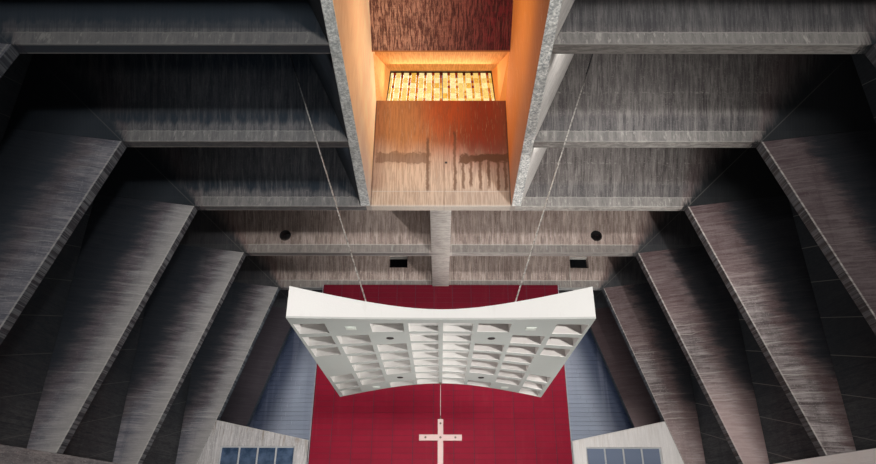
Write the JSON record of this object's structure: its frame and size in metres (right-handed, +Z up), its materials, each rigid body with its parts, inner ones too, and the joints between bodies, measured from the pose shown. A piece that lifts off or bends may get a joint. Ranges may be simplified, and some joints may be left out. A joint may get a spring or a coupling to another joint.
{
  "type": "chancel end of a modern concrete church",
  "caption": "Altar end of a modern concrete church: leaning ribs and deep beams, a glowing light slot, red altar panel, hung coffered canopy and plain cross.",
  "frame": {"origin": "on the ground, under the middle of the building's bounding box, on the centre line of the nave", "axes": "+X across the nave to the right as seen from the open end, +Y towards the altar wall, +Z up"},
  "size_m": [31.9378, 27.92, 21.035],
  "materials": {
    "concrete": "grey board-marked concrete, stained, matte",
    "warm_concrete": "concrete warmed by orange light, board marks, matte",
    "pale_concrete": "pale beige board-marked concrete, matte",
    "grey_boarding": "grey-blue horizontal boarding, matte",
    "red_tile": "crimson tile, satin",
    "white_paint": "off-white painted plaster",
    "cream_paint": "cream painted wood",
    "dark_glass": "dark blue-grey window glass",
    "coloured_glass": "yellow, orange and red cast glass, lit from behind",
    "steel": "galvanised steel rope"
  },
  "bodies": {
    "root": {"side_wall_left": "concrete", "side_wall_right": "concrete", "frame_0_rib_left": "concrete", "frame_0_rib_right": "concrete", "frame_0_beam_left": "concrete", "frame_0_beam_right": "concrete", "frame_1_rib_left": "concrete", "frame_1_rib_right": "concrete", "frame_1_beam_left": "concrete", "frame_1_beam_right": "concrete", "frame_2_rib_left": "concrete", "frame_2_rib_right": "concrete", "frame_2_beam_left": "concrete", "frame_2_beam_right": "concrete", "frame_3_rib_left": "concrete", "frame_3_rib_right": "concrete", "frame_3_beam": "concrete", "frame_4_rib_left": "concrete", "frame_4_rib_right": "concrete", "frame_4_beam": "concrete", "frame_5_rib_left": "concrete", "frame_5_rib_right": "concrete", "frame_5_beam": "concrete", "frame_6_rib_left": "concrete", "frame_6_rib_right": "concrete", "frame_6_beam": "concrete", "centre_beam_3": "concrete", "centre_beam_4": "concrete", "roof_slab_left": "concrete", "roof_slab_right": "concrete", "roof_slab_rear": "concrete", "slot_beam_left": "warm_concrete", "slot_beam_right": "warm_concrete", "monitor_roof": "concrete", "slot_ceiling": "warm_concrete", "glass_wall": "warm_concrete", "glass_cheek_left": "warm_concrete", "glass_cheek_right": "warm_concrete", "coloured_glass": "coloured_glass", "end_wall": "concrete", "end_wall_boarding": "grey_boarding", "altar_panel": "red_tile", "window_wall_left": "pale_concrete", "window_wall_right": "pale_concrete", "window_glass_left": "dark_glass", "window_glass_right": "dark_glass", "canopy": "white_paint", "canopy_hanger_left": "steel", "canopy_hanger_right": "steel", "cross": "cream_paint", "cross_wire": "steel"}
  },
  "joints": []
}
